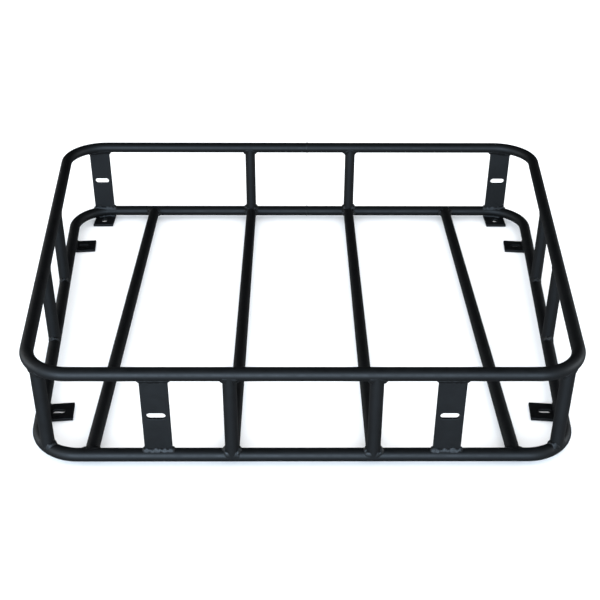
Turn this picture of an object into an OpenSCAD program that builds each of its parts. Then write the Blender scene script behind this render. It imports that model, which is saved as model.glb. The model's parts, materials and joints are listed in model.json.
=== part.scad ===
// Welded round-tube cargo basket: two bent tube rails, a floor of four straight
// tubes, ten posts, four slotted plates and six mounting tabs. Each rail is one
// bent tube, closed by a welded seam.
// +X is to the right, -Y is the narrow front, +Z is up. The origin is at the
// middle of the underside, on the plane that the mounting tabs rest on.

/* [Tube] */
// Outside diameter of every tube
tube_d = 25.4; // [22:0.1:28]
// Wall thickness of every tube
tube_wall = 1.65; // [1.2:0.05:2.5]

/* [Rails] */
// Front width, between the centrelines of the side rails
front_w = 985; // [940:5:1020]
// Rear width, between the centrelines of the side rails
rear_w = 1194; // [1160:2:1220]
// Depth, between the centrelines of the front and rear rails
rail_depth = 1005; // [960:5:1060]
// Centreline radius of the corner bends
bend_r = 88; // [76:1:92]
// Height between the centrelines of the two rails
rail_rise = 182; // [150:1:220]
// Distance of each rail's closing seam to the right of its middle
seam_x = 18; // [0:1:60]
// Width of the seam's weld ring
seam_gap = 0.8; // [0.5:0.1:1.5]

/* [Floor and posts] */
// Spacing of the floor tubes
floor_pitch = 260; // [250:1:268]
// Spacing of the two posts along each side
side_post_pitch = 250; // [200:5:300]

/* [Plates] */
// Thickness of the plates and tabs
plate_t = 6.35; // [4.5:0.05:7]
// Width of a plate
plate_w = 50.8; // [46:0.1:56]
// Distance of the front plates from the middle
front_plate_x = 264; // [250:1:280]
// Distance of the rear plates and rear tabs from the middle
rear_plate_x = 521; // [510:1:526]
// Distance of the rear plates in front of the rear rail's centreline
rear_plate_inset = 5; // [4:0.5:7]
// End-to-end length of a plate's slot
plate_slot_l = 35; // [26:1:38]
// Width of a plate's slot
plate_slot_w = 13; // [9:0.5:14]

/* [Mounting tabs] */
// Width of a side tab
side_tab_w = 50.8; // [46:0.1:56]
// Width of a rear tab
rear_tab_w = 50.8; // [46:0.1:56]
// Reach of a tab inward from its rail's centreline
tab_reach = 57; // [52:1:62]
// Length of a side tab outward past its rail's centreline
tab_tail = 8; // [0:1:12]
// Distance of a side tab's slot inward from the rail's centreline
side_slot_reach = 28.5; // [28:0.5:33]
// End-to-end length of a side tab's slot
side_slot_l = 25; // [18:1:27]
// Width of a side tab's slot
side_slot_w = 11; // [9:0.5:13]
// Distance of a rear tab's hole inward from the rail's centreline
rear_hole_reach = 32; // [30:0.5:36]
// Diameter of a rear tab's hole
rear_hole_d = 17; // [12:0.5:18]
// Distance of the front side tabs behind the front rail
front_tab_set = 144; // [130:0.5:180]
// Distance of the rear side tabs in front of the rear rail
rear_tab_set = 176; // [150:0.5:200]

/* [Hidden] */

$fn = 64;
left = -1;
right = 1;
front = -1;
rear = 1;

tube_r = tube_d / 2;
bore_r = tube_r - tube_wall;
// The bends of a rail are fuller than its straight stretches by this much all
// round, as bending leaves them, and lap over the straight ones by this angle
swell = 0.08;
lap = 0.6;
front_y = -rail_depth / 2;
rear_y = rail_depth / 2;
bottom_z = plate_t + tube_r;
top_z = bottom_z + rail_rise;
mid_z = (bottom_z + top_z) / 2;

// The side rails spread by this angle towards the rear
splay = atan((rear_w - front_w) / 2 / rail_depth);
front_turn = 90 - splay;
rear_turn = 90 + splay;
// Distance from a rail's sharp corner to the start of its bend
front_cut = bend_r * tan(front_turn / 2);
rear_cut = bend_r * tan(rear_turn / 2);
front_straight = front_w / 2 - front_cut;
rear_straight = rear_w / 2 - rear_cut;
side_length = rail_depth / cos(splay);
outer_x = 1.5 * floor_pitch;
inner_x = 0.5 * floor_pitch;
// Spare length of the shapes that cut into others
over = 30;
// Spare depth of a cutter past the face that it starts from
past = 1;
// Height of the rail's edge that a plate's end runs down beside
plate_lap = 5;

// Half the width between the side rails' centrelines at a place y
function side_x(y) = front_w / 2 + (y - front_y) * tan(splay);

// A round bar or, with a bore, a tube, standing on the floor
module bar(length, bore = 0) {
    difference() {
        cylinder(r = tube_r, h = length);
        if (bore > 0) {
            translate([0, 0, -past]) cylinder(r = bore, h = length + 2 * past);
        }
    }
}

// A bar along X, from x0 to x1
module bar_x(x0, x1, bore = 0) {
    translate([x0, 0, 0]) rotate([0, 90, 0]) bar(x1 - x0, bore);
}

// A bar along Y, from y0 to y1
module bar_y(y0, y1, bore = 0) {
    translate([0, y0, 0]) rotate([-90, 0, 0]) bar(y1 - y0, bore);
}

// A hollow bend, turning from angle a0 by the angle turn
module bend(a0, turn) {
    rotate([0, 0, a0 - lap])
        rotate_extrude(angle = turn + 2 * lap)
            translate([bend_r, 0])
                difference() {
                    circle(r = tube_r + swell);
                    circle(r = bore_r + swell);
                }
}

// A solid ring of the bend radius, which copes what is welded to a bend
module bend_ring() {
    rotate_extrude() translate([bend_r, 0]) circle(r = tube_r + swell);
}

// Places its children in the frame of the right or left side rail:
// origin on the sharp front corner, +Y along the rail, +X away from the basket
module on_side(side) {
    mirror([side == left ? 1 : 0, 0, 0])
        translate([front_w / 2, front_y, 0])
            rotate([0, 0, -splay])
                children();
}

// Places its children at the centre of the right or left front bend
module on_front_bend(side) {
    mirror([side == left ? 1 : 0, 0, 0])
        translate([front_straight, front_y + bend_r, 0])
            children();
}

// Places its children at the centre of the right or left rear bend
module on_rear_bend(side) {
    mirror([side == left ? 1 : 0, 0, 0])
        translate([rear_straight, rear_y - bend_r, 0])
            children();
}

// One rail: a single bent tube, open at the seam in its rear run
module rail() {
    translate([0, front_y, 0]) bar_x(-front_straight, front_straight, bore_r);
    for (side = [left, right]) {
        on_front_bend(side) bend(-90, front_turn);
        on_side(side) bar_y(front_cut, side_length - rear_cut, bore_r);
        on_rear_bend(side) bend(90 - rear_turn, rear_turn);
    }
    translate([0, rear_y, 0]) {
        bar_x(-rear_straight, seam_x - seam_gap / 2, bore_r);
        bar_x(seam_x + seam_gap / 2, rear_straight, bore_r);
    }
}

// The ring of weld metal that closes a rail
module seam() {
    translate([0, rear_y, 0]) bar_x(seam_x - seam_gap / 2, seam_x + seam_gap / 2, bore_r);
}

module bottom_rail() {
    color("dimgray") translate([0, 0, bottom_z]) rail();
}

module top_rail() {
    color("slategray") translate([0, 0, top_z]) rail();
}

module bottom_rail_seam() {
    color("black") translate([0, 0, bottom_z]) seam();
}

module top_rail_seam() {
    color("black") translate([0, 0, top_z]) seam();
}

// A floor tube, its ends coped to the front and rear rails
module floor_tube(x) {
    color("darkslategray") translate([x, 0, bottom_z]) difference() {
        bar_y(front_y, rear_y, bore_r);
        for (y = [front_y, rear_y]) {
            translate([0, y, 0]) bar_x(-over, over);
        }
    }
}

// A post from rail to rail, standing where its children's rails cross the origin.
// The children cope its two ends
module post() {
    color("gray") translate([0, 0, bottom_z]) difference() {
        bar(rail_rise, bore_r);
        for (z = [0, rail_rise]) {
            translate([0, 0, z]) children();
        }
    }
}

module centre_post(side, end) {
    translate([side * inner_x, end == front ? front_y : rear_y, 0])
        post() bar_x(-over, over);
}

// The corner posts stand half way round the front bends
module corner_post(side) {
    on_front_bend(side)
        rotate([0, 0, -90 + front_turn / 2])
            translate([bend_r, 0, 0])
                post() translate([-bend_r, 0, 0]) bend_ring();
}

module side_post(side, end) {
    y = end * side_post_pitch / 2;
    on_side(side)
        translate([0, (y - front_y) / cos(splay), 0])
            post() bar_y(-over, over);
}

// A hole through a plate that lies flat, long in X
module slot(length, width) {
    reach = (length - width) / 2;
    height = plate_t + 2 * past;
    for (x = [-reach, reach]) {
        translate([x, 0, -past]) cylinder(d = width, h = height);
    }
    translate([-reach, -width / 2, -past]) cube([2 * reach, width, height]);
}

// An upright plate between the rails. Its children are the solid rail, which
// copes its two ends
module plate(x, y) {
    height = rail_rise - 2 * (tube_r - plate_lap);
    color("lightslategray") difference() {
        translate([x, y + plate_t / 2, mid_z]) rotate([90, 0, 0]) difference() {
            translate([-plate_w / 2, -height / 2, 0]) cube([plate_w, height, plate_t]);
            slot(plate_slot_l, plate_slot_w);
        }
        for (z = [bottom_z, top_z]) {
            translate([0, 0, z]) children();
        }
    }
}

module front_plate(side) {
    x = side * front_plate_x;
    plate(x, front_y) translate([x, front_y, 0]) bar_x(-plate_w, plate_w);
}

module rear_plate(side) {
    plate(side * rear_plate_x, rear_y - rear_plate_inset) on_rear_bend(side) bend_ring();
}

// A tab square to a side rail where the rail's centreline is at y. Its slot lies
// on its own centreline, straight across the basket
module side_tab(side, y) {
    slot_x = side_x(y) - side_slot_reach * cos(splay);
    slot_y = y + side_slot_reach * sin(splay);
    color("darkslategray") difference() {
        on_side(side)
            translate([-tab_reach, (y - front_y) / cos(splay) - side_tab_w / 2, 0])
                cube([tab_reach + tab_tail, side_tab_w, plate_t]);
        translate([side * slot_x, slot_y, 0]) slot(side_slot_l, side_slot_w);
    }
}

// A rear tab lies under the start of a rear bend, which is let into its top
module rear_tab(side) {
    x = side * rear_plate_x;
    color("darkslategray") difference() {
        translate([x - rear_tab_w / 2, rear_y - tab_reach, 0])
            cube([rear_tab_w, tab_reach, plate_t]);
        translate([x, rear_y - rear_hole_reach, -past])
            cylinder(d = rear_hole_d, h = plate_t + 2 * past);
        translate([0, 0, bottom_z]) on_rear_bend(side) bend_ring();
    }
}

bottom_rail();
top_rail();
bottom_rail_seam();
top_rail_seam();
floor_tube(-outer_x);  // floor_tube_left_outer
floor_tube(-inner_x);  // floor_tube_left_inner
floor_tube(inner_x);  // floor_tube_right_inner
floor_tube(outer_x);  // floor_tube_right_outer
centre_post(left, front);  // front_post_left
centre_post(right, front);  // front_post_right
centre_post(left, rear);  // rear_post_left
centre_post(right, rear);  // rear_post_right
corner_post(left);  // corner_post_left
corner_post(right);  // corner_post_right
side_post(left, front);  // side_post_left_front
side_post(left, rear);  // side_post_left_rear
side_post(right, front);  // side_post_right_front
side_post(right, rear);  // side_post_right_rear
front_plate(left);  // front_plate_left
front_plate(right);  // front_plate_right
rear_plate(left);  // rear_plate_left
rear_plate(right);  // rear_plate_right
side_tab(left, front_y + front_tab_set);  // side_tab_left_front
side_tab(left, rear_y - rear_tab_set);  // side_tab_left_rear
side_tab(right, front_y + front_tab_set);  // side_tab_right_front
side_tab(right, rear_y - rear_tab_set);  // side_tab_right_rear
rear_tab(left);  // rear_tab_left
rear_tab(right);  // rear_tab_right
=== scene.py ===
"""Looks of a welded tube cargo basket, in satin black powder coat.

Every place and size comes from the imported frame. Each CAD node is replaced by a finer
mesh built here, and the weld beads, which CAD leaves out, are added.
"""

import json
import math
from collections import namedtuple

import bmesh
import bpy
import numpy as np
from mathutils import Matrix, Vector


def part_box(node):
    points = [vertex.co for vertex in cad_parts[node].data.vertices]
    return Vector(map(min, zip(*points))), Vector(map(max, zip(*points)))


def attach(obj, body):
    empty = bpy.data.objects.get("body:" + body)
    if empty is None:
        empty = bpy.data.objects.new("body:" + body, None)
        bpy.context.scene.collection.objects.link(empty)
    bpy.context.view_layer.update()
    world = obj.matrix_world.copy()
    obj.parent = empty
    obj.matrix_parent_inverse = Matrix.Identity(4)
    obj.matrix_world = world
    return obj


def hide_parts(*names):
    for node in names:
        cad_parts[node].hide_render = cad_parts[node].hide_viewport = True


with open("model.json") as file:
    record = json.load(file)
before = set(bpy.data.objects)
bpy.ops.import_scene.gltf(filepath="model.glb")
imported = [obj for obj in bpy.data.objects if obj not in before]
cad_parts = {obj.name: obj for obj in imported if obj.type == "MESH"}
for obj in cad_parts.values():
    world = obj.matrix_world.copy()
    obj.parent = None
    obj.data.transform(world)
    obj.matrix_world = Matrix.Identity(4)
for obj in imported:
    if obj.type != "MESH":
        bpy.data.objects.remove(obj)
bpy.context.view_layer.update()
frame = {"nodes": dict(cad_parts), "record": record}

MM = 0.001
UP = np.array((0.0, 0.0, 1.0))


# ---------------------------------------------------------------- sizes, from the frame


def middle(node):
    low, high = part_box(node)
    return (low + high) / 2


def extent(node):
    low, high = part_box(node)
    return high - low


TUBE_R = extent("bottom_rail_seam").z / 2
TUBE_WALL = 1.65 * MM
SWELL = 0.08 * MM  # how much fuller a bend is than a straight tube, all round
TAB_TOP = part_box("rear_tab_left")[1].z

LOW_Z = middle("bottom_rail_seam").z
HIGH_Z = middle("top_rail_seam").z
FRONT_Y = middle("front_post_left").y
REAR_Y = middle("rear_post_left").y

MOUNTS = {mount["name"]: mount for mount in frame["record"]["mounts"]}

# The two posts of a side stand on the centreline of its rail, so they give its slope
side_a = middle("side_post_right_front")
side_b = middle("side_post_right_rear")
SLOPE = (side_b.x - side_a.x) / (side_b.y - side_a.y)
SPLAY = math.atan(SLOPE)


def side_x(y):
    """Half the width between the side rails' centrelines."""
    return side_a.x + (y - side_a.y) * SLOPE


# A corner post stands half way round its bend, so its distance from the rail's
# sharp corner gives the bend's radius
FRONT_TURN = math.pi / 2 - SPLAY
REAR_TURN = math.pi / 2 + SPLAY
corner_post = middle("corner_post_right")
corner_reach = math.hypot(side_x(FRONT_Y) - corner_post.x, FRONT_Y - corner_post.y)
BEND_R = corner_reach / (1 / math.cos(FRONT_TURN / 2) - 1)
FRONT_CUT = BEND_R * math.tan(FRONT_TURN / 2)
REAR_CUT = BEND_R * math.tan(REAR_TURN / 2)
FRONT_FLAT = side_x(FRONT_Y) - FRONT_CUT
REAR_FLAT = side_x(REAR_Y) - REAR_CUT
SIDE_LENGTH = (REAR_Y - FRONT_Y) / math.cos(SPLAY) - FRONT_CUT - REAR_CUT
SIDE_DIRECTION = np.array((math.sin(SPLAY), math.cos(SPLAY)))
SIDE_START = np.array((side_x(FRONT_Y), FRONT_Y)) + FRONT_CUT * SIDE_DIRECTION
FRONT_CENTRE = np.array((FRONT_FLAT, FRONT_Y + BEND_R))
REAR_CENTRE = np.array((REAR_FLAT, REAR_Y - BEND_R))
FRONT_ANGLES = (-math.pi / 2, -math.pi / 2 + FRONT_TURN)
REAR_ANGLES = (math.pi / 2 - REAR_TURN, math.pi / 2)


# ---------------------------------------------------------------- camera

CAMERA_PLACE = (-0.0180, -1.9394, 1.2342)
CAMERA_PITCH = 31.516  # degrees below the horizon
CAMERA_YAW = 0.459  # degrees towards +X
CAMERA_ROLL = 0.259
CAMERA_LENS = 60.56  # on a 36 mm sensor


def make_camera():
    """The camera that sees the basket as the photo does."""
    pitch, yaw, roll = map(math.radians, (CAMERA_PITCH, CAMERA_YAW, CAMERA_ROLL))
    forward = Vector((
        math.sin(yaw) * math.cos(pitch),
        math.cos(yaw) * math.cos(pitch),
        -math.sin(pitch),
    ))
    level_right = forward.cross(Vector((0, 0, 1))).normalized()
    level_up = level_right.cross(forward)
    right = level_right * math.cos(roll) + level_up * math.sin(roll)
    up = level_up * math.cos(roll) - level_right * math.sin(roll)
    data = bpy.data.cameras.new("camera")
    data.sensor_width = 36
    data.lens = CAMERA_LENS
    camera = bpy.data.objects.new("camera", data)
    bpy.context.scene.collection.objects.link(camera)
    turn = Matrix((right, up, -forward)).transposed().to_4x4()
    camera.matrix_world = Matrix.Translation(CAMERA_PLACE) @ turn
    bpy.context.scene.camera = camera


make_camera()


# ---------------------------------------------------------------- numpy helpers


def unit(v):
    return v / np.linalg.norm(v, axis=-1, keepdims=True)


def smoothstep(x):
    x = np.clip(x, 0, 1)
    return x * x * (3 - 2 * x)


def flat_to_3d(points, z):
    return np.column_stack([points, np.full(len(points), z)])


def polar(centre, angle):
    return centre + BEND_R * np.column_stack([np.cos(angle), np.sin(angle)])


def nearest_on_rail(plan):
    """The nearest point of the rails' centreline to each point in plan, and the tube's
    radius there."""
    side = np.where(plan[:, 0] < 0, -1.0, 1.0)
    p = plan * np.column_stack([side, np.ones(len(plan))])
    front = np.column_stack([np.minimum(p[:, 0], FRONT_FLAT), np.full(len(p), FRONT_Y)])
    rear = np.column_stack([np.minimum(p[:, 0], REAR_FLAT), np.full(len(p), REAR_Y)])
    along = np.clip((p - SIDE_START) @ SIDE_DIRECTION, 0, SIDE_LENGTH)
    straight = SIDE_START + along[:, None] * SIDE_DIRECTION
    found = [(front, 0.0), (rear, 0.0), (straight, 0.0)]
    for centre, (first, last) in ((FRONT_CENTRE, FRONT_ANGLES), (REAR_CENTRE, REAR_ANGLES)):
        v = p - centre
        angle = np.clip(np.arctan2(v[:, 1], v[:, 0]), first, last)
        share = (angle - first) / (last - first)
        fuller = SWELL * smoothstep(np.minimum(share, 1 - share) * 8)
        found.append((polar(centre, angle), fuller))
    distance = np.array([np.linalg.norm(p - q, axis=1) for q, _ in found])
    best = distance.argmin(0)
    rows = np.arange(len(p))
    place = np.array([q for q, _ in found])[best, rows]
    radius = TUBE_R + np.array([np.broadcast_to(r, len(p)) for _, r in found])[best, rows]
    return place * np.column_stack([side, np.ones(len(p))]), radius


def from_rail(points, rail_z):
    """Unit vectors from the rail's centreline to the points, their distance from it and the
    tube's radius there."""
    centre, radius = nearest_on_rail(points[:, :2])
    v = points - flat_to_3d(centre, rail_z)
    distance = np.linalg.norm(v, axis=1)
    return v / distance[:, None], distance, radius


def onto_rail(points, rail_z):
    """The points, moved straight in or out onto the rail's surface."""
    away, distance, radius = from_rail(points, rail_z)
    return points + away * (radius - distance)[:, None]


def reach_rail(points, axis, rail_z):
    """How far along axis each point leaves the rail's tube."""
    low = np.zeros(len(points))
    high = np.full(len(points), 3 * TUBE_R)
    for _ in range(40):
        half = (low + high) / 2
        _, distance, radius = from_rail(points + half[:, None] * axis, rail_z)
        inside = distance < radius
        low = np.where(inside, half, low)
        high = np.where(inside, high, half)
    return low


def wander(s, length, wave, rng):
    """Smooth random values of about -1 to 1 along a closed line of that length."""
    top = max(2, round(length / wave))
    value = np.zeros(len(s))
    for k in range(1, top + 1):
        value += rng.normal() * np.sin(2 * math.pi * k * s / length + rng.uniform(0, 2 * math.pi))
    return value / math.sqrt(top)


# ---------------------------------------------------------------- mesh helpers


def grid_faces(rows, columns, close_rows, close_columns, start=0, flip=False):
    """Quads between neighbouring rows of a grid of points."""
    faces = []
    for i in range(rows if close_rows else rows - 1):
        for j in range(columns if close_columns else columns - 1):
            a = start + i * columns + j
            b = start + i * columns + (j + 1) % columns
            c = start + (i + 1) % rows * columns + (j + 1) % columns
            d = start + (i + 1) % rows * columns + j
            faces.append((a, d, c, b) if flip else (a, b, c, d))
    return faces


class Shape:
    """Points and faces, gathered from several parts into one piece."""

    def __init__(self):
        self.points = []
        self.faces = []

    def grid(self, points, close_rows, close_columns, flip=False):
        """points has rows, columns and 3 values. Returns the index of its first point."""
        rows, columns = points.shape[:2]
        start = len(self.points)
        self.faces += grid_faces(rows, columns, close_rows, close_columns, start, flip)
        self.points += points.reshape(-1, 3).tolist()
        return start

    def cap(self, start, columns, flip=False):
        """Closes the row of a grid that begins at the point start."""
        ring = list(range(start, start + columns))
        self.faces.append(tuple(ring[::-1] if flip else ring))

    def piece(self, name, slot, material, *nodes):
        """Makes the Blender object, which replaces the CAD nodes."""
        mesh = bpy.data.meshes.new(name)
        mesh.from_pydata(self.points, [], self.faces)
        mesh.validate()
        mesh.polygons.foreach_set("use_smooth", [True] * len(mesh.polygons))
        mesh.materials.append(material)
        made = bpy.data.objects.new(name, mesh)
        bpy.context.scene.collection.objects.link(made)
        outward(made)
        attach(made, "root")
        if nodes:
            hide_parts(*nodes)


def outward(made):
    """Turns the faces of a closed mesh outward."""
    b = bmesh.new()
    b.from_mesh(made.data)
    bmesh.ops.recalc_face_normals(b, faces=b.faces)
    b.to_mesh(made.data)
    b.free()


# ---------------------------------------------------------------- materials


def link(tree, a, out, b, into):
    tree.links.new(a.outputs[out], b.inputs[into])


def noise(tree, where, scale, detail=2.0, roughness=0.5):
    node = tree.nodes.new("ShaderNodeTexNoise")
    node.inputs["Scale"].default_value = scale
    node.inputs["Detail"].default_value = detail
    node.inputs["Roughness"].default_value = roughness
    link(tree, where, "Object", node, "Vector")
    return node


def ranged(tree, source, out, low, high, to_low, to_high):
    node = tree.nodes.new("ShaderNodeMapRange")
    node.inputs["From Min"].default_value = low
    node.inputs["From Max"].default_value = high
    node.inputs["To Min"].default_value = to_low
    node.inputs["To Max"].default_value = to_high
    link(tree, source, out, node, "Value")
    return node


def blend_colours(tree, factor, out, a, b):
    """a and b are colours, or a node whose Result is one."""
    node = tree.nodes.new("ShaderNodeMix")
    node.data_type = "RGBA"
    for socket, value in ((node.inputs[6], a), (node.inputs[7], b)):
        if isinstance(value, tuple):
            socket.default_value = (*value, 1)
        else:
            tree.links.new(value.outputs[2], socket)
    tree.links.new(factor.outputs[out], node.inputs[0])
    return node


def bump(tree, height, strength, distance, below=None):
    node = tree.nodes.new("ShaderNodeBump")
    node.inputs["Strength"].default_value = strength
    node.inputs["Distance"].default_value = distance
    link(tree, height, "Fac", node, "Height")
    if below:
        link(tree, below, "Normal", node, "Normal")
    return node


def powder_coat(name, dark, light, rough, peel=1.0, worn=0.0):
    """Satin powder coat: cloudy colour, lighter patches on what faces up (dust, and painted light
    from above), orange peel and a fine grain.
    worn lightens the raised edges, where the coat is thin and rubbed."""
    material = bpy.data.materials.new(name)
    material.use_nodes = True
    tree = material.node_tree
    shader = tree.nodes["Principled BSDF"]
    where = tree.nodes.new("ShaderNodeTexCoord")
    geometry = tree.nodes.new("ShaderNodeNewGeometry")
    # a lighter tone, for specks of dust and for the patches on what faces up, which are dust and
    # painted light from above
    dust_and_top_light_tone = tuple(2 * c for c in light)

    # colour
    clouds = ranged(tree, noise(tree, where, 14, 4, 0.6), "Fac", 0.35, 0.65, 0, 1)
    colour = blend_colours(tree, clouds, "Result", dark, light)
    specks = ranged(tree, noise(tree, where, 420, 3, 0.7), "Fac", 0.60, 0.76, 0, 0.4)
    colour = blend_colours(tree, specks, "Result", colour, dust_and_top_light_tone)
    # lighter in patches on what faces up: dust, and painted light from above
    facing = tree.nodes.new("ShaderNodeSeparateXYZ")
    link(tree, geometry, "Normal", facing, "Vector")
    upward = ranged(tree, facing, "Z", 0.55, 1.0, 0, 1)
    patches = ranged(tree, noise(tree, where, 34, 5, 0.7), "Fac", 0.42, 0.70, 0, 0.5)
    dust_and_painted_top_light = tree.nodes.new("ShaderNodeMath")
    dust_and_painted_top_light.operation = "MULTIPLY"
    tree.links.new(upward.outputs["Result"], dust_and_painted_top_light.inputs[0])
    tree.links.new(patches.outputs["Result"], dust_and_painted_top_light.inputs[1])
    colour = blend_colours(tree, dust_and_painted_top_light, "Value", colour, dust_and_top_light_tone)
    if worn:
        edges = ranged(tree, geometry, "Pointiness", 0.52, 0.60, 0, worn)
        colour = blend_colours(tree, edges, "Result", colour, tuple(12 * c for c in light))
    tree.links.new(colour.outputs[2], shader.inputs["Base Color"])

    # gloss and relief
    streaks = noise(tree, where, 60, 5, 0.65)
    roughness = ranged(tree, streaks, "Fac", 0.3, 0.7, rough - 0.05, rough + 0.06)
    link(tree, roughness, "Result", shader, "Roughness")
    orange = bump(tree, noise(tree, where, 430, 1, 0.4), 0.25 * peel, 0.2 * MM)
    grain = bump(tree, noise(tree, where, 2400, 2, 0.6), 0.15 * peel, 0.06 * MM, orange)
    link(tree, grain, "Normal", shader, "Normal")
    return material


TUBE_COAT = powder_coat("tube_coat", (0.0010, 0.0009, 0.0009), (0.0016, 0.0015, 0.0015), 0.56)
PLATE_COAT = powder_coat(
    "plate_coat", (0.0014, 0.0014, 0.0015), (0.0022, 0.0023, 0.0025), 0.55, worn=0.25
)
WELD_COAT = powder_coat(
    "weld_coat", (0.0014, 0.0014, 0.0014), (0.0024, 0.0024, 0.0025), 0.5, 1.5, worn=0.3
)


# ---------------------------------------------------------------- rails


TUBE_SIDES = 48  # points round a tube's outside
BORE_SIDES = 24  # points round a rail's bore
RUN_STEP = 24 * MM  # between the rings of a rail's straight runs
BEND_STEP = math.radians(2.5)  # between the rings of its bends


def rail_path():
    """Points round the whole centreline and the outward directions there, in plan."""

    def run(a, b, out):
        count = max(2, round(np.linalg.norm(b - a) / RUN_STEP))
        share = np.linspace(0, 1, count, endpoint=False)[:, None]
        return a + share * (b - a), np.tile(out, (count, 1))

    def turn(centre, first, last):
        count = round((last - first) / BEND_STEP)
        angle = np.linspace(first, last, count, endpoint=False)
        return polar(centre, angle), np.column_stack([np.cos(angle), np.sin(angle)])

    side_out = np.array((SIDE_DIRECTION[1], -SIDE_DIRECTION[0]))
    side_end = SIDE_START + SIDE_LENGTH * SIDE_DIRECTION
    parts = [
        run(np.array((0, FRONT_Y)), np.array((FRONT_FLAT, FRONT_Y)), (0, -1)),
        turn(FRONT_CENTRE, *FRONT_ANGLES),
        run(SIDE_START, side_end, side_out),
        turn(REAR_CENTRE, *REAR_ANGLES),
        run(np.array((REAR_FLAT, REAR_Y)), np.array((0, REAR_Y)), (0, 1)),
        (np.array([(0, REAR_Y)]), np.array([(0, 1)])),
    ]
    right = np.vstack([p for p, _ in parts])
    right_out = np.vstack([n for _, n in parts])
    mirror = np.array((-1, 1))
    # the left half runs back from the rear to the front, without the two middle points
    points = np.vstack([right, right[-2:0:-1] * mirror])
    out = np.vstack([right_out, right_out[-2:0:-1] * mirror])
    return points, out


def make_rail(name, rail_z):
    """A bent tube along the whole path, with its bore."""
    points, out = rail_path()
    _, radius = nearest_on_rail(points)
    centre = flat_to_3d(points, rail_z)[:, None, :]
    out = flat_to_3d(out, 0)[:, None, :]
    shape = Shape()
    for sides, thinner, flip in ((TUBE_SIDES, 0.0, False), (BORE_SIDES, TUBE_WALL, True)):
        angle = np.linspace(0, 2 * math.pi, sides, endpoint=False)[None, :, None]
        around = np.cos(angle) * out + np.sin(angle) * UP
        shape.grid(centre + (radius - thinner)[:, None, None] * around, True, True, flip)
    shape.piece(name + "_tube", "tube_coat", TUBE_COAT, name)


make_rail("bottom_rail", LOW_Z)
make_rail("top_rail", HIGH_Z)


# ---------------------------------------------------------------- weld beads

PITCH = 2.9 * MM  # between the ripples of a bead
RING = 0.55 * MM  # between the cross-sections of a bead
ACROSS = np.linspace(0, 1, 8)  # places over a bead's face, from toe to toe
SUNK = 0.15 * MM  # how far a bead's toes lie inside what it joins

LEG_WAVE = 9 * MM  # shortest wave of the unevenness of a bead's legs
BULGE_WAVE = 6 * MM  # and of its crown

# leg is a bead's width on each side of the corner that it fills, crown its bulge, depth that
# of its ripples, and lumps the share by which its legs vary
Bead = namedtuple("Bead", "leg crown depth lumps")
TUBE_BEAD = Bead(5.4 * MM, 1.0 * MM, 0.6 * MM, 0.32)
PLATE_FOOT_BEAD = Bead(5.6 * MM, 0.9 * MM, 0.6 * MM, 0.2)
PLATE_HEAD_BEAD = Bead(5.4 * MM, 0.5 * MM, 0.4 * MM, 0.2)
TAB_BEAD = Bead(5.5 * MM, 0.7 * MM, 0.4 * MM, 0.13)


def ring_count(length):
    return round(length / RING)


def ripple(s, length, depth):
    """Height of the ripples at each distance s along a bead, over its whole face. They bow
    forward in its middle."""
    turns = round(length / PITCH) * s[:, None] / length
    sway = 17 * MM  # the pitch grows and shrinks once in about this length
    uneven = 0.5 * np.sin(2 * math.pi * s / length * round(length / sway))[:, None]
    phase = math.pi * (turns + uneven + 1.4 * ACROSS * (1 - ACROSS))
    across = np.sin(math.pi * ACROSS) ** 0.7
    return depth[:, None] * (np.abs(np.sin(phase)) ** 0.6 - 0.5) * across


def bead_sections(toe_a, toe_b, root, out, rise, wave, depth):
    """Cross-sections of a bead: its face from toe to toe, bulging by rise from the root
    along out, and a hidden point at the depth below the root."""
    control = 2 * (root + out * rise[:, None]) - (toe_a + toe_b) / 2
    rows = []
    for k, u in enumerate(ACROSS):
        face = (1 - u) ** 2 * toe_a + 2 * u * (1 - u) * control + u**2 * toe_b
        rows.append(face + out * wave[:, k : k + 1])
    rows.append(root - out * depth)
    return np.stack(rows, axis=1)


def saddle_bead(shape, foot, normal, axis, rail_z, rng, bead):
    """A bead round a member that stands on a rail. foot are points round the member's side at
    the height of the rail's centreline, normal its outward directions there, and axis points
    along the member away from the rail."""
    root = foot + reach_rail(foot, axis, rail_z)[:, None] * axis
    rail_normal, _, _ = from_rail(root, rail_z)
    gaps = np.linalg.norm(np.roll(root, -1, axis=0) - root, axis=1)
    length = gaps.sum()
    s = np.concatenate([[0], gaps.cumsum()[:-1]])
    cosine = (normal * rail_normal).sum(1, keepdims=True)
    spread = normal - cosine * rail_normal
    size = np.linalg.norm(spread, axis=1)
    # the bead thins out, and turns smooth, where the member is flush with the rail
    full = 0.12 + 0.88 * smoothstep(size / 0.75)
    bulk = 1 - cosine[:, 0]  # 0 where it is flush, and 1 where the two are square
    leg_a = bead.leg * full * (1 + bead.lumps * wander(s, length, LEG_WAVE, rng))
    leg_b = bead.leg * full * (1 + bead.lumps * wander(s, length, LEG_WAVE, rng))
    toe_a = root + leg_a[:, None] * axis
    # the bead's way over the rail; where it is flush, that is straight on past the root
    flush = np.exp(-((size / 0.2) ** 2))[:, None]
    down = spread / np.maximum(size, 1e-6)[:, None] - flush * axis
    toe_b = onto_rail(root + leg_b[:, None] * unit(down), rail_z)
    half = np.sqrt(bulk / 2)
    bulge = 1 + 2 * bead.lumps * wander(s, length, BULGE_WAVE, rng)
    rise = full * bead.leg * half * (0.72 + 0.2 * bulk) + bulk**2 * bead.crown * bulge
    depth = bead.depth * full * (0.3 + 0.7 * bulk**2)
    grid = bead_sections(
        toe_a - SUNK * normal, toe_b - SUNK * rail_normal, root, unit(normal + rail_normal),
        rise, ripple(s, length, depth), 1.1 * MM,
    )
    shape.grid(grid, True, True)


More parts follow.
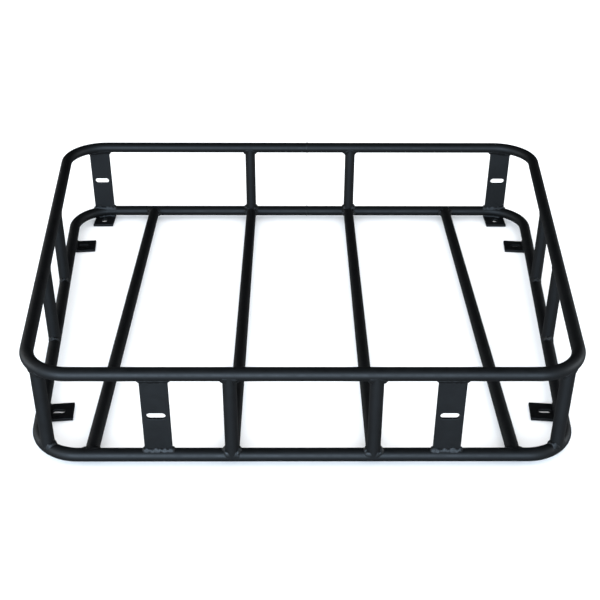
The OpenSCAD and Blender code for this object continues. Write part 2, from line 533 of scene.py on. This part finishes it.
def rail_bead(shape, plan, edge, top, rail_z, rng, bead):
    """A bead in the wedge between a rail and the flat bar that lies under it. plan are points
    beside the rail, where the bead runs; edge is how far the bar reaches past the rail's
    centreline at each; top is the height of the bar's upper face."""
    centre, radius = nearest_on_rail(plan)
    side = unit(plan - centre)
    gaps = np.linalg.norm(np.diff(plan, axis=0), axis=1)
    s = np.concatenate([[0], gaps.cumsum()])
    length = s[-1]
    taper = np.sqrt(smoothstep(np.minimum(s, length - s) / (4 * MM)) + 0.01)
    size_a = bead.leg * taper * (1 + bead.lumps * wander(s, length, LEG_WAVE, rng))
    size_b = bead.leg * taper * (1 + bead.lumps * wander(s, length, LEG_WAVE, rng))
    # the wedge is too narrow to weld closer to the centreline than this
    start = 6.5 * MM
    reach = np.minimum(start + size_a, edge + SUNK)
    drop = 4.5 * MM * (1 - smoothstep(edge / (12 * MM))) + SUNK
    toe_a = flat_to_3d(centre + side * reach[:, None], top)
    toe_a[:, 2] -= drop * taper
    turn = start / TUBE_R + size_b / TUBE_R
    toe_b = flat_to_3d(centre, rail_z)
    toe_b += (radius - SUNK)[:, None] * (
        flat_to_3d(side, 0) * np.sin(turn)[:, None] - UP * np.cos(turn)[:, None]
    )
    root = flat_to_3d(centre + side * (start - 1 * MM), top)
    middle_face = (toe_a + toe_b) / 2
    out = unit(np.cross(toe_b - toe_a, np.gradient(middle_face, axis=0)))
    out *= np.sign((out * flat_to_3d(side, 1.0)).sum(1, keepdims=True))
    lift = ((middle_face - root) * out).sum(1)
    bulge = bead.crown * taper * (1 + 0.3 * wander(s, length, BULGE_WAVE, rng))
    grid = bead_sections(
        toe_a, toe_b, middle_face - out * lift[:, None], out, lift + bulge,
        ripple(s, length, bead.depth * taper), 0.5 * MM,
    )
    start_row = shape.grid(grid, False, True)
    columns = grid.shape[1]
    shape.cap(start_row, columns)
    shape.cap(start_row + (len(grid) - 1) * columns, columns, flip=True)


# ---------------------------------------------------------------- straight tubes


def circle(base, u, v, radius, count):
    """Points round a circle in the plane of u and v, and its outward directions."""
    angle = np.linspace(0, 2 * math.pi, count, endpoint=False)[:, None]
    normal = np.cos(angle) * u + np.sin(angle) * v
    return base + radius * normal, normal


def make_tube(name, base, axis, u, v, length, z_first, z_last, seed):
    """A tube between two rails, coped to both, and its weld beads. base lies on the first
    rail's centreline."""
    base, axis, u, v = (np.array(a, float) for a in (base, axis, u, v))
    lap = 0.6 * MM  # how far the coped ends stand inside the rails
    rings = max(8, round(length / (20 * MM)))
    share = np.linspace(0, 1, rings)
    # two more rings beside the ends keep the walls' shading from bending round them
    near = 0.4 * MM / length
    share = np.sort(np.append(share, (near, 1 - near)))[:, None, None]
    walls = []
    for radius in (TUBE_R, TUBE_R - TUBE_WALL):
        first, _ = circle(base, u, v, radius, TUBE_SIDES)
        last = first + length * axis
        start = first + (reach_rail(first, axis, z_first) - lap)[:, None] * axis
        end = last - (reach_rail(last, -axis, z_last) - lap)[:, None] * axis
        walls.append(start + share * (end - start))
    shape = Shape()
    # out along the outer wall and back along the bore, so that the tube is closed
    shape.grid(np.concatenate([walls[0], walls[1][::-1]]), True, True)
    shape.piece(name + "_tube", "tube_coat", TUBE_COAT, name)
    rng = np.random.default_rng(seed)
    beads = Shape()
    count = ring_count(2 * math.pi * TUBE_R * 1.2)
    for end, way, rail_z in ((base, axis, z_first), (base + length * axis, -axis, z_last)):
        foot, normal = circle(end, u, v, TUBE_R, count)
        saddle_bead(beads, foot, normal, way, rail_z, rng, TUBE_BEAD)
    beads.piece(name + "_welds", "weld_metal", WELD_COAT)


POSTS = [n for n in sorted(frame["nodes"]) if "_post_" in n]
FLOOR_TUBES = [n for n in sorted(frame["nodes"]) if n.startswith("floor_tube_")]

for number, node in enumerate(POSTS):
    place = middle(node)
    make_tube(
        node, (place.x, place.y, LOW_Z), (0, 0, 1), (1, 0, 0), (0, 1, 0),
        HIGH_Z - LOW_Z, LOW_Z, HIGH_Z, 100 + number,
    )

for number, node in enumerate(FLOOR_TUBES):
    place = middle(node)
    make_tube(
        node, (place.x, FRONT_Y, LOW_Z), (0, 1, 0), (1, 0, 0), (0, 0, 1),
        REAR_Y - FRONT_Y, LOW_Z, LOW_Z, 200 + number,
    )


# ---------------------------------------------------------------- plates and tabs

EDGE_R = 0.8 * MM  # rounding of the flat bar's edges
LET_IN = 0.8 * MM  # how far a coped end stands inside the rail's wall


def rounded_outline(width, depth, corner, count):
    """Points round a rectangle with rounded corners, evenly spaced, and their normals."""
    a, b = width / 2 - corner, depth / 2 - corner
    arc = math.pi / 2 * corner
    legs = [2 * b, arc, 2 * a, arc, 2 * b, arc, 2 * a, arc]
    starts = np.cumsum([0] + legs)
    points, normals = [], []
    for s in np.linspace(0, starts[-1], count, endpoint=False):
        k = int(np.searchsorted(starts, s, side="right")) - 1
        quarter, t = k // 2, (s - starts[k]) / legs[k]
        turn = quarter * math.pi / 2
        first = np.array(((a, -b), (a, b), (-a, b), (-a, -b))[quarter])
        last = np.array(((a, b), (-a, b), (-a, -b), (a, -b))[quarter])
        if k % 2:
            turn += t * math.pi / 2
            at = last
        else:
            at = first + t * (last - first)
        n = np.array((math.cos(turn), math.sin(turn)))
        points.append(at + corner * n)
        normals.append(n)
    return np.array(points), np.array(normals)


def slot_ray(direction, half, radius):
    """Where rays from the middle of a slot along X meet its outline."""
    d = np.abs(direction)
    flat = radius / np.maximum(d[:, 1], 1e-9)
    along = half * d[:, 0]
    round_end = along + np.sqrt(np.maximum(along**2 - half**2 + radius**2, 0))
    length = np.where(flat * d[:, 0] <= half, flat, round_end)
    return direction * length[:, None]


def box_ray(direction, low, high):
    """Where rays from the origin meet the sides of a rectangle."""
    direction = np.where(direction == 0, 1e-12, direction)
    reach = np.where(direction > 0, high, low) / direction
    return direction * reach.min(axis=1, keepdims=True)


def ray_angles(low, high, half, radius, turn):
    """Directions from the slot's middle that follow its round ends and meet the corners
    and, every few millimetres, the sides of the bar."""
    arc = np.linspace(-math.pi / 2, math.pi / 2, 17)
    end = np.column_stack([half + radius * np.cos(arc), radius * np.sin(arc)])
    slot = np.arctan2(end[:, 1], end[:, 0])
    angles = [slot + turn, slot + turn + math.pi]
    for x0, y0, x1, y1 in (
        (low[0], low[1], high[0], low[1]), (high[0], low[1], high[0], high[1]),
        (high[0], high[1], low[0], high[1]), (low[0], high[1], low[0], low[1]),
    ):
        count = round(math.hypot(x1 - x0, y1 - y0) / (5 * MM))
        share = np.linspace(0, 1, count, endpoint=False)
        angles.append(np.arctan2(y0 + share * (y1 - y0), x0 + share * (x1 - x0)))
    angles = np.sort(np.concatenate(angles) % (2 * math.pi))
    return angles[np.concatenate([[True], np.diff(angles) > 0.004])]


def edge_profile():
    """How far in from the edge and how deep below the face the rings of a rounded edge
    lie, from a support ring on the flat face to the side."""
    arc = np.linspace(0, math.pi / 2, 4)
    rings = [(2 * EDGE_R, 0.0)]
    rings += [(EDGE_R * (1 - math.sin(a)), EDGE_R * (1 - math.cos(a))) for a in arc]
    return rings


def flat_bar(name, node, origin, ex, ey, ez, low, high, thick, half, radius, turn=0.0, cope=None):
    """A piece of flat bar with a slot or hole in it. origin is the middle of the slot, ex and
    ey lie in the bar and ez across it. low and high are the bar's corners from there, and
    turn is the angle from ex to the slot. cope moves the outline's points."""
    angles = ray_angles(low, high, half, radius, turn)
    outer_way = np.column_stack([np.cos(angles), np.sin(angles)])
    inner_way = np.column_stack([np.cos(angles - turn), np.sin(angles - turn)])
    back = np.array(((math.cos(turn), math.sin(turn)), (-math.sin(turn), math.cos(turn))))
    rings = []

    def ring(flat, height, is_outline):
        points = origin + flat[:, :1] * ex + flat[:, 1:] * ey + height * ez
        rings.append(cope(points) if is_outline and cope else points)

    def outline(inset):
        return box_ray(outer_way, low + inset, high - inset)

    def slot(outset):
        return slot_ray(inner_way, half, radius + outset) @ back

    for face in (1, -1):
        profile = edge_profile()
        # the outline runs from the face to the side in front, and back again behind
        slot_rings = [(slot(d), face * (thick / 2 - z), False) for d, z in profile[::-1]]
        outline_rings = [(outline(d), face * (thick / 2 - z), True) for d, z in profile]
        both = slot_rings + outline_rings
        for item in both if face == 1 else both[::-1]:
            ring(*item)
    shape = Shape()
    shape.grid(np.array(rings), True, True)
    shape.piece(name, "plate_coat", PLATE_COAT, node)


def coper(rail_zs, axis_z):
    """Moves the ends of an upright bar onto the rails above and below it."""

    def cope(points):
        for sign, rail_z in zip((1, -1), rail_zs):
            end = sign * (points[:, 2] - axis_z) < 0
            foot = points.copy()
            foot[:, 2] = rail_z
            way = np.array((0.0, 0.0, sign))
            stop = rail_z + sign * (reach_rail(foot, way, rail_z) - LET_IN)
            share = (points[:, 2] - axis_z) / (rail_z + sign * TUBE_R - axis_z)
            points[:, 2] = np.where(end, axis_z + share * (stop - axis_z), points[:, 2])
        return points

    return cope


def hole_of(mount):
    """Half the length of a slot's straight part, 0 in a round hole, and its ends' radius."""
    dims = mount["dims"]
    radius = dims["hole_r_mm"] * MM
    return dims.get("slot_length_mm", 2 * dims["hole_r_mm"]) * MM / 2 - radius, radius


def make_plate(node, mount, seed):
    """An upright plate between the rails, with its slot and the beads at both ends."""
    place, size = middle(node), extent(node)
    half, radius = hole_of(mount)
    slot_z = mount["pos_m"][2]
    corner = np.array((size.x / 2, slot_z - LOW_Z - TUBE_R))
    flat_bar(
        node + "_bar", node, np.array((place.x, place.y, slot_z)),
        np.array((1.0, 0, 0)), UP, np.array((0, -1.0, 0)), -corner, corner, size.y,
        half, radius, cope=coper((LOW_Z, HIGH_Z), slot_z),
    )
    rng = np.random.default_rng(seed)
    beads = Shape()
    count = ring_count(2 * (size.x + size.y))
    outline, normals = rounded_outline(size.x, size.y, EDGE_R, count)
    for way, rail_z, bead in ((UP, LOW_Z, PLATE_FOOT_BEAD), (-UP, HIGH_Z, PLATE_HEAD_BEAD)):
        foot = flat_to_3d(outline + (place.x, place.y), rail_z)
        normal = flat_to_3d(normals, 0)
        saddle_bead(beads, foot, normal, way, rail_z, rng, bead)
    beads.piece(node + "_welds", "weld_metal", WELD_COAT)


def tab_sides(node, turn):
    """The middle of a tab, the directions along and across it and its size in both. turn is
    the angle of its rail to the basket's own X or Y."""
    low, high = (np.array(corner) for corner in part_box(node))
    spans, centre = high - low, (high + low) / 2
    side = math.copysign(1, centre[0])
    # a turned rectangle's own sides follow from the box round it
    c, s = math.cos(turn), math.sin(turn)
    length = (spans[0] * c - spans[1] * s) / (c * c - s * s)
    width = (spans[1] * c - spans[0] * s) / (c * c - s * s)
    return centre, np.array((c, -side * s, 0)), np.array((side * s, c, 0)), length, width


def make_tab(node, mount, turn):
    """A tab that lies under the bottom rail, with its slot or hole."""
    centre, ex, ey, length, width = tab_sides(node, turn)
    side = math.copysign(1, centre[0])
    half, radius = hole_of(mount)
    spacing = mount["dims"]["spacing_x_mm"] * MM
    origin = np.array((side * spacing / 2, mount["pos_m"][1], centre[2]))
    offset = np.array(((centre - origin) @ ex, (centre - origin) @ ey))
    corner = np.array((length, width)) / 2
    flat_bar(
        node + "_bar", node, origin, ex, ey, UP, offset - corner, offset + corner,
        extent(node).z, half, radius, turn=side * turn,
    )


BESIDE = 10 * MM  # from a rail's centreline to the line that a tab's bead is laid out on
PAST_TAB = 5 * MM  # how much longer a tab's beads are than it is wide


def weld_side_tab(node, seed):
    """Beads along both sides of the rail, over the width of the tab."""
    centre, ex, ey, length, width = tab_sides(node, SPLAY)
    across = width + PAST_TAB
    steps = np.linspace(-across / 2, across / 2, ring_count(across))[:, None]
    rail = nearest_on_rail(centre[None, :2])[0][0]
    rng = np.random.default_rng(seed)
    beads = Shape()
    for way in (ex[:2], -ex[:2]):
        plan = rail + way * BESIDE + steps * ey[:2]
        edge = (centre[:2] - rail) @ way + length / 2
        edges = np.full(len(plan), edge)
        rail_bead(beads, plan, edges, TAB_TOP, LOW_Z, rng, TAB_BEAD)
    beads.piece(node + "_welds", "weld_metal", WELD_COAT)


def weld_rear_tab(node, seed):
    """A bead along the rail's inner side, over the tab, and one along its outer side, on the
    tab's end."""
    place, size = middle(node), extent(node)
    across = size.x + PAST_TAB
    x = place.x + np.linspace(-across / 2, across / 2, ring_count(across))
    rng = np.random.default_rng(seed)
    beads = Shape()
    for way in (-1, 1):
        plan = np.column_stack([x, np.full(len(x), REAR_Y + way * BESIDE)])
        centres, _ = nearest_on_rail(plan)
        past = REAR_Y - centres[:, 1]
        edges = past + 1 * MM if way > 0 else past * 0 + size.y
        rail_bead(beads, plan, edges, TAB_TOP, LOW_Z, rng, TAB_BEAD)
    beads.piece(node + "_welds", "weld_metal", WELD_COAT)


PLATES = [n for n in sorted(frame["nodes"]) if "_plate_" in n]
TABS = [n for n in sorted(frame["nodes"]) if "_tab_" in n]

for number, node in enumerate(PLATES):
    end = node.split("_")[0]
    make_plate(node, MOUNTS[end + "_plate_slots"], 300 + number)

for number, node in enumerate(TABS):
    if node.startswith("rear"):
        make_tab(node, MOUNTS["rear_tab_holes"], 0.0)
        weld_rear_tab(node, 400 + number)
    else:
        make_tab(node, MOUNTS[node.split("_")[-1] + "_side_tab_slots"], SPLAY)
        weld_side_tab(node, 400 + number)


# ---------------------------------------------------------------- seams of the rails


def make_seam(node, seed):
    """The ring of weld metal round a rail where the bent tube's two ends meet."""
    place = middle(node)
    rng = np.random.default_rng(seed)
    length = 2 * math.pi * TUBE_R
    count = ring_count(length)
    angle = np.linspace(0, 2 * math.pi, count, endpoint=False)
    s = angle * TUBE_R
    out = np.column_stack([angle * 0, np.sin(angle), np.cos(angle)])
    root = np.array((place.x, place.y, place.z)) + TUBE_R * out
    half = 2.6 * MM * (1 + 0.1 * wander(s, length, LEG_WAVE, rng))
    rise = 0.6 * MM * (1 + 0.3 * wander(s, length, 8 * MM, rng))
    along = half[:, None] * np.array((1.0, 0, 0))
    grid = bead_sections(
        root - along - SUNK * out, root + along - SUNK * out, root, out, rise,
        ripple(s, length, np.full(count, 0.25 * MM)), 0.8 * MM,
    )
    beads = Shape()
    beads.grid(grid, True, True)
    beads.piece(node + "_weld", "weld_metal", WELD_COAT, node)


make_seam("bottom_rail_seam", 500)
make_seam("top_rail_seam", 501)


# ---------------------------------------------------------------- floor, light and world


def make_floor():
    """A large pale floor."""
    mesh = bpy.data.meshes.new("floor")
    half, z = 20, -0.2 * MM  # just below the tabs, so that no faces coincide
    corners = [(-half, -half, z), (half, -half, z), (half, half, z), (-half, half, z)]
    mesh.from_pydata(corners, [], [(0, 1, 2, 3)])
    floor = bpy.data.objects.new("floor", mesh)
    bpy.context.scene.collection.objects.link(floor)
    material = bpy.data.materials.new("floor")
    material.use_nodes = True
    tree = material.node_tree
    shader = tree.nodes["Principled BSDF"]
    shader.inputs["Base Color"].default_value = (0.88, 0.88, 0.88, 1)
    shader.inputs["Roughness"].default_value = 0.9
    # gloss on the basket sees a dim floor, as it would outdoors
    dim = tree.nodes.new("ShaderNodeEmission")
    dim.inputs["Color"].default_value = (0.85, 0.93, 1.0, 1)
    dim.inputs["Strength"].default_value = 0.19
    path = tree.nodes.new("ShaderNodeLightPath")
    mix = tree.nodes.new("ShaderNodeMixShader")
    link(tree, path, "Is Glossy Ray", mix, 0)
    tree.links.new(shader.outputs[0], mix.inputs[1])
    tree.links.new(dim.outputs[0], mix.inputs[2])
    tree.links.new(mix.outputs[0], tree.nodes["Material Output"].inputs["Surface"])
    material.cycles.emission_sampling = "NONE"
    mesh.materials.append(material)


AIM = (0, 0, 0.1)  # where every light points


def make_softbox(name, place, width, height, power, colour):
    """A soft rectangular light; sizes are in metres and power is in watts."""
    data = bpy.data.lights.new(name, "AREA")
    data.shape = "RECTANGLE"
    data.size, data.size_y = width, height
    data.energy = power
    data.color = colour
    light = bpy.data.objects.new(name, data)
    bpy.context.scene.collection.objects.link(light)
    light.location = place
    direction = Vector(AIM) - Vector(place)
    light.rotation_euler = direction.to_track_quat("-Z", "Y").to_euler()


make_floor()
# one broad cool light in front, two faint ones behind at the sides, and two beside the basket
make_softbox("key", (-0.6, -3.4, 1.0), 4.5, 1.3, 205, (0.64, 0.81, 1.0))
make_softbox("left", (-3.2, 1.7, 0.9), 2.5, 1.0, 9, (1.0, 0.99, 0.96))
make_softbox("right", (3.2, 1.7, 0.9), 2.5, 1.0, 5, (0.95, 0.98, 1.0))
for side in (-1, 1):
    make_softbox("wall", (side * 3.4, -0.2, 0.8), 2.0, 1.2, 38, (0.85, 0.93, 1.0))

world = bpy.data.worlds.new("world")
bpy.context.scene.world = world
world.use_nodes = True
background = world.node_tree.nodes["Background"]
background.inputs["Color"].default_value = (0.97, 0.985, 1.0, 1)
background.inputs["Strength"].default_value = 1.6
world.cycles_visibility.glossy = False  # the room above the basket is dark

bpy.context.scene.view_settings.view_transform = "Standard"
